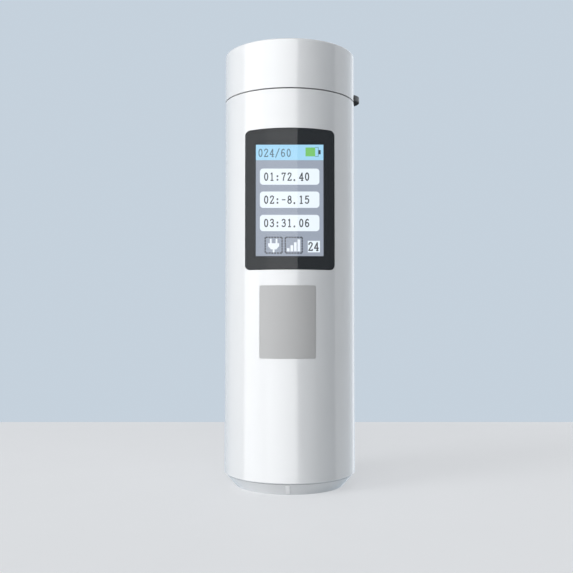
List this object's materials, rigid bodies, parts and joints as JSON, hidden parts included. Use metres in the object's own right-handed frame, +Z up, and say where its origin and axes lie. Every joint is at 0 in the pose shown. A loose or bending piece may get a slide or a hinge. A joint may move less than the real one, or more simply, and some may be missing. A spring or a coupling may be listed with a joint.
{
  "type": "portable colorimeter",
  "caption": "Cylindrical contact colorimeter that stands on its measuring ring, with a curved display window and a three-way side key.",
  "frame": {"origin": "on the body's axis, at the plane of the measuring ring's foot", "axes": "+Z up along the body towards the cap, -Y out of the display window, +X to the side with the key"},
  "size_m": [0.0325, 0.031, 0.102],
  "materials": {
    "body_white": "gloss",
    "window_glass": "gloss",
    "port_glass": "polished",
    "mask_black": "satin",
    "display_glass": "gloss",
    "display_metal": "satin",
    "frame_black": "matte",
    "flex_amber": "satin",
    "label_grey": "satin",
    "ring_grey": "satin",
    "rubber_black": "matte",
    "foam_grey": "matte",
    "screw_steel": "satin",
    "board_green": "satin",
    "led_white": "gloss",
    "chip_black": "matte",
    "connector_cream": "satin",
    "battery_silver": "satin",
    "lead_red_black": "satin",
    "key_black": "matte"
  },
  "bodies": {
    "body": {"battery_cell": "battery_silver", "battery_connector": "connector_cream", "battery_leads": "lead_red_black", "battery_pad": "foam_grey", "board_link": "frame_black", "board_screws": "screw_steel", "body_sleeve": "body_white", "cap_screws": "screw_steel", "chassis_screws": "screw_steel", "collecting_lens": "port_glass", "colour_sensor": "chip_black", "detector_tube": "frame_black", "display_backlight": "display_metal", "display_flex": "flex_amber", "display_frame": "frame_black", "display_panel": "display_glass", "display_window": "window_glass", "flex_connectors": "frame_black", "front_label": "label_grey", "inner_chassis": "frame_black", "jog_cover": "display_metal", "jog_housing": "frame_black", "jog_return_spring": "screw_steel", "led_board": "board_green", "main_board": "board_green", "measuring_leds": "led_white", "measuring_ring": "ring_grey", "optics_block": "frame_black", "optics_flex": "flex_amber", "port_glass": "port_glass", "processor": "chip_black", "radio_module": "display_metal", "ring_screws": "screw_steel", "ring_seal": "rubber_black", "sensor_board": "board_green", "socket_core": "frame_black", "socket_shell": "display_metal", "top_board": "board_green", "top_cap": "body_white", "window_mask": "mask_black"},
    "slider": {"jog_slider": "key_black", "jog_centring_spring": "screw_steel"},
    "key": {"jog_key": "key_black"}
  },
  "joints": [
    {"name": "jog_press", "type": "slide", "parent": "body", "child": "slider", "axis": [-0.991, -0.134, 0], "range_m": [0, 0.0004], "stiffness_N_per_m": 800, "springref_m": -0.0002, "deforming": ["jog_return_spring"]},
    {"name": "jog_tilt", "type": "hinge", "parent": "slider", "child": "key", "pos_m": [0.01333, 0.0018, 0.09225], "axis": [0, 0, 1], "range_deg": [-12, 12], "stiffness_Nm_per_rad": 0.01, "deforming": ["jog_centring_spring"]}
  ]
}
